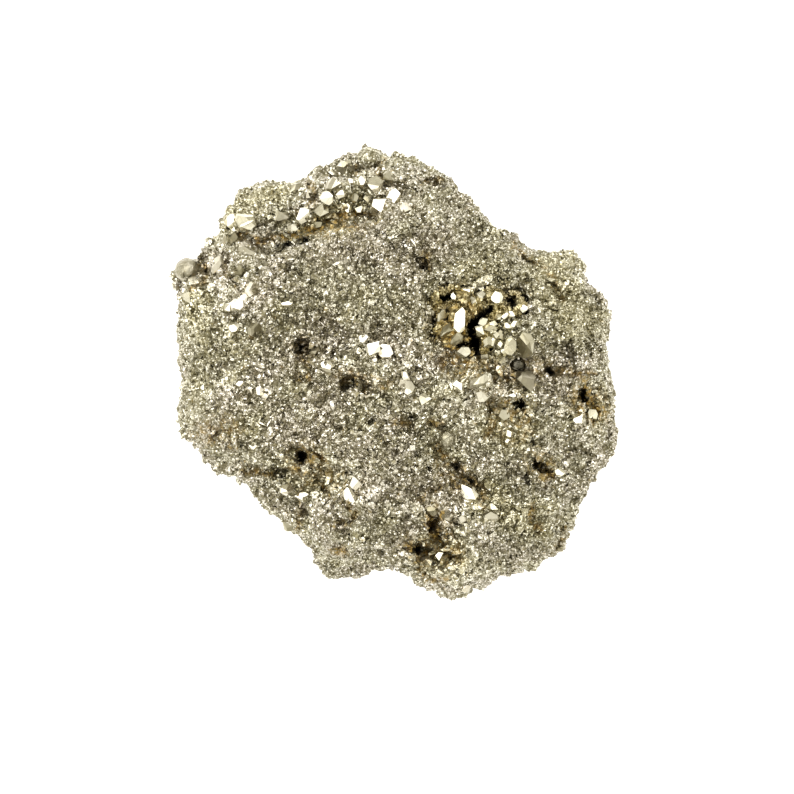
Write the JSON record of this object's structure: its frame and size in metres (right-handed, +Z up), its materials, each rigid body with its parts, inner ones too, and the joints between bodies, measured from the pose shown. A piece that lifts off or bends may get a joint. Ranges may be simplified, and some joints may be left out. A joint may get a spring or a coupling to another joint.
{
  "type": "pyrite specimen",
  "caption": "Rough lump of granular pyrite with a broad top face, a lower shoulder, pits, flat-faced crystals and one small crystal-lined hollow, resting on its flat base.",
  "frame": {"origin": "on the flat base, under the middle of the specimen's box", "axes": "+Z up out of the broad top face, +X to the right and +Y towards the shoulder, as the picture shows it from above"},
  "size_m": [0.0526, 0.0536, 0.0329],
  "materials": {
    "granular_pyrite": "granular metallic, pale brass to grey, glittering",
    "bright_pyrite": "smooth metallic crystal faces, pale brass"
  },
  "bodies": {
    "root": {"massive_pyrite": "granular_pyrite", "hollow_crystal_crust": "bright_pyrite"}
  },
  "joints": []
}
